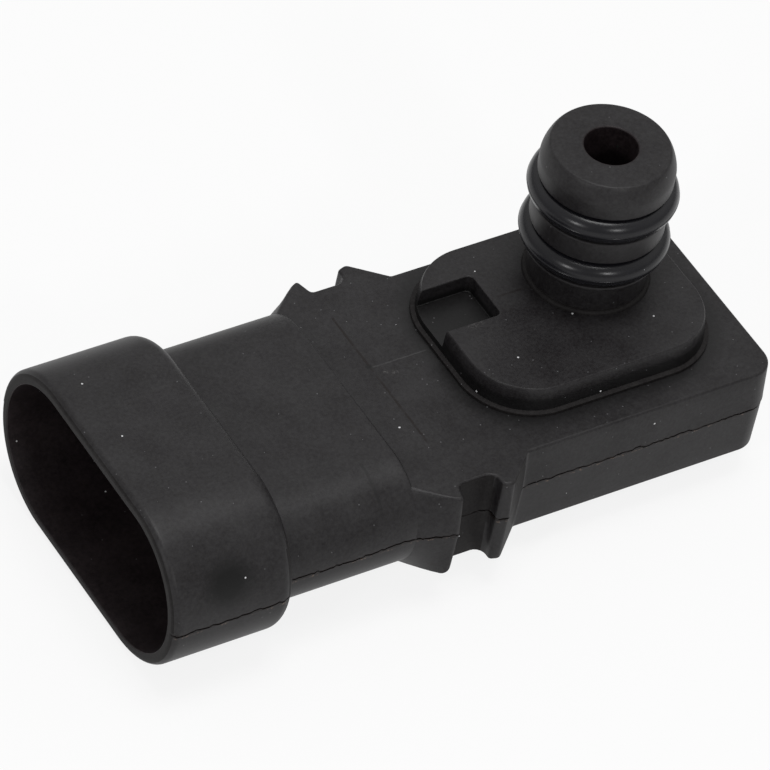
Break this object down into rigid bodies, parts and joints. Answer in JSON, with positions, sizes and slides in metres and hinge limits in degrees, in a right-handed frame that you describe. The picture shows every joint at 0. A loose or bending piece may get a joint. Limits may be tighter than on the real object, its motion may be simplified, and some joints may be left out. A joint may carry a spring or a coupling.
{
  "type": "barometric pressure sensor",
  "caption": "Black moulded air pressure sensor: oval plug shroud at one end, flat body with clip ears, and a bored port with rubber sealing rings on a raised pad.",
  "frame": {"origin": "centre of the footprint of the part's box, at the height of its lowest point (the underside of the connector shroud)", "axes": "+Z along the port's axis, out of its open end; +X from the connector's mouth to the tail; the clip ears stand out along Y"},
  "size_m": [0.0588, 0.0288, 0.0284],
  "materials": {
    "housing_plastic": "satin black glass-filled polyester, faintly mottled, with sparse pale dust",
    "cover_plastic": "satin black glass-filled polyester",
    "adhesive": "cured grey-black adhesive",
    "ring_rubber": "smooth black rubber with a soft sheen",
    "tinned_brass": "bright tin plate on brass",
    "solder": "reflowed solder",
    "board_laminate": "green solder mask on glass laminate",
    "seal_silicone": "red-brown silicone",
    "dam_plastic": "off-white moulded plastic",
    "gel": "clear soft silicone gel",
    "pedestal_glass": "sawn borosilicate glass",
    "silicon": "polished silicon",
    "gold_wire": "drawn gold",
    "chip_epoxy": "matt black moulding compound",
    "capacitor_ceramic": "tan ceramic with tinned ends"
  },
  "bodies": {
    "root": {"housing": "housing_plastic", "base_cover": "cover_plastic", "cover_bead": "adhesive", "o_ring_lower": "ring_rubber", "o_ring_upper": "ring_rubber", "terminal_ground": "tinned_brass", "terminal_signal": "tinned_brass", "terminal_supply": "tinned_brass", "solder_ground": "solder", "solder_signal": "solder", "solder_supply": "solder", "circuit_board": "board_laminate", "board_seal": "seal_silicone", "gel_dam": "dam_plastic", "protective_gel": "gel", "glass_pedestal": "pedestal_glass", "sensor_die": "silicon", "bond_wire_1": "gold_wire", "bond_wire_2": "gold_wire", "bond_wire_3": "gold_wire", "bond_wire_4": "gold_wire", "signal_chip": "chip_epoxy", "capacitor_reference": "capacitor_ceramic", "capacitor_signal": "capacitor_ceramic", "capacitor_supply": "capacitor_ceramic"}
  },
  "joints": []
}
